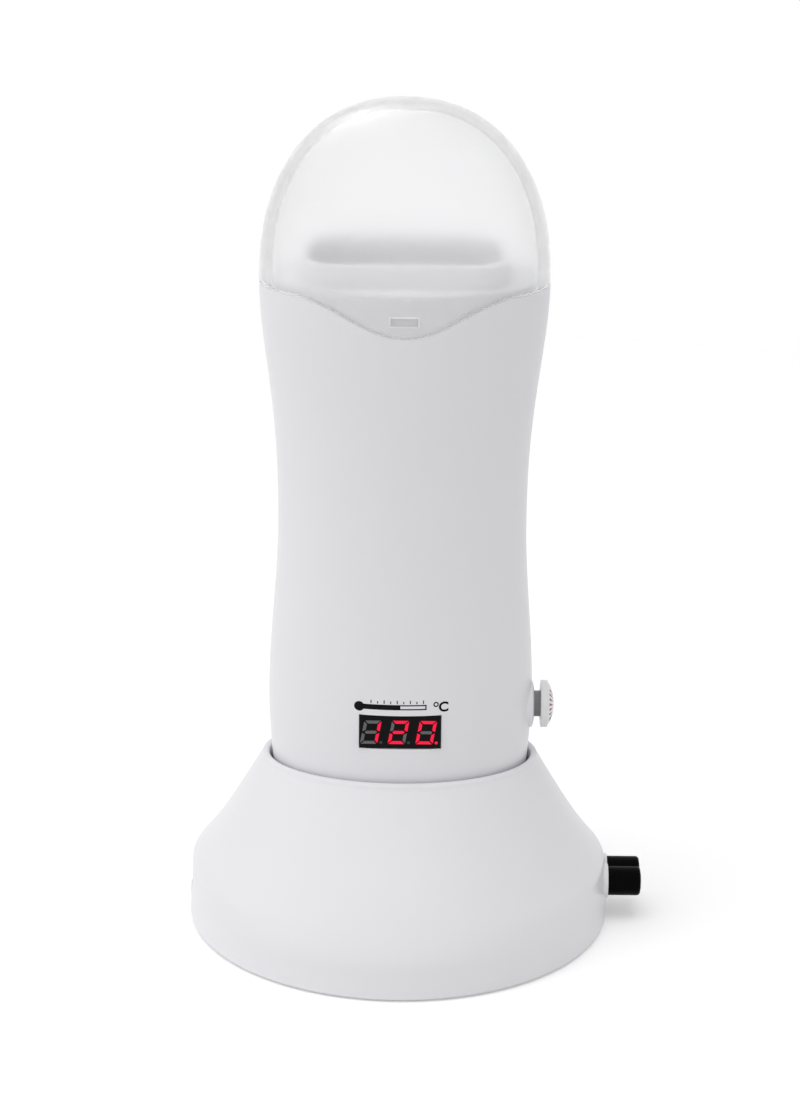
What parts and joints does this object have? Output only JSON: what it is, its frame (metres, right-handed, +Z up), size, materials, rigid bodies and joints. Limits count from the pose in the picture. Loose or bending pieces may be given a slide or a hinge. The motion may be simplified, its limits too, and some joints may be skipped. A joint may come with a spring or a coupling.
{
  "type": "roll-on wax heater",
  "caption": "Waisted oval heater handset with frosted cap, display and dial, standing in a flared round docking base with link connectors.",
  "frame": {"origin": "on the table, under the centre of the round stand", "axes": "+Z up the handset's axis; the display faces -Y; the dial and the link plug are on +X, the mains inlet on -X"},
  "size_m": [0.1292, 0.1188, 0.2363],
  "materials": {
    "housing_white": "glossy moulded white",
    "plate_white": "fine spark-eroded texture",
    "cap_frosted": "frosted translucent moulding",
    "collar_grey": "satin moulded light grey",
    "connector_black": "glossy moulded black",
    "contact_steel": "nickel plated",
    "contact_brass": "plain stamped brass",
    "spring_steel": "drawn wire",
    "screw_steel": "zinc plated",
    "foot_rubber": "matt",
    "chamber_aluminium": "deep drawn, satin",
    "heater_ceramic": "sintered",
    "fuse_case": "matt ceramic",
    "board_green": "solder-resist lacquer",
    "component_dark": "moulded epoxy",
    "display_face": "smooth dark epoxy face",
    "segment_red": "lit",
    "segment_grey": "unlit diffuser",
    "pot_body": "moulded",
    "dial_grey": "satin",
    "knob_white": "glossy moulded"
  },
  "bodies": {
    "stand": {"base_shell": "housing_white", "base_plate": "plate_white", "base_feet": "foot_rubber", "base_screws": "screw_steel", "mains_inlet": "connector_black", "inlet_pins": "contact_steel", "link_plug": "connector_black", "link_sleeves": "contact_brass", "bus_bars": "contact_brass", "contact_block": "connector_black", "spring_left": "spring_steel", "spring_right": "spring_steel"},
    "left_contact": {"plunger_left": "contact_brass"},
    "right_contact": {"plunger_right": "contact_brass"},
    "handset": {"front_shell": "housing_white", "rear_shell": "housing_white", "foot_cover": "plate_white", "contact_discs": "contact_brass", "mouth_collar": "collar_grey", "cartridge_chamber": "chamber_aluminium", "heater_plates": "heater_ceramic", "thermal_fuse": "fuse_case", "control_board": "board_green", "board_components": "component_dark", "board_screws": "screw_steel", "display_module": "display_face", "segments_lit": "segment_red", "segments_unlit": "segment_grey", "dial_potentiometer": "pot_body", "shell_screws": "screw_steel"},
    "dial": {"dial_shaft": "dial_grey", "dial_knob": "knob_white"},
    "cap": {"cap_dome": "cap_frosted"}
  },
  "joints": [
    {"name": "handset_lift", "type": "slide", "parent": "stand", "child": "handset", "axis": [0, 0, 1], "range_m": [0, 0.06]},
    {"name": "cap_lift", "type": "slide", "parent": "handset", "child": "cap", "axis": [0, 0, 1], "range_m": [0, 0.05]},
    {"name": "dial_turn", "type": "hinge", "parent": "handset", "child": "dial", "pos_m": [0.037, 0, 0.0639], "axis": [1, 0, 0], "range_deg": [-135, 135]},
    {"name": "left_contact_press", "type": "slide", "parent": "stand", "child": "left_contact", "axis": [0, 0, 1], "range_m": [-0.0015, 0], "stiffness_N_per_m": 400, "springref_m": 0.002, "deforming": ["spring_left"]},
    {"name": "right_contact_press", "type": "slide", "parent": "stand", "child": "right_contact", "axis": [0, 0, 1], "range_m": [-0.0015, 0], "stiffness_N_per_m": 400, "springref_m": 0.002, "deforming": ["spring_right"]}
  ]
}
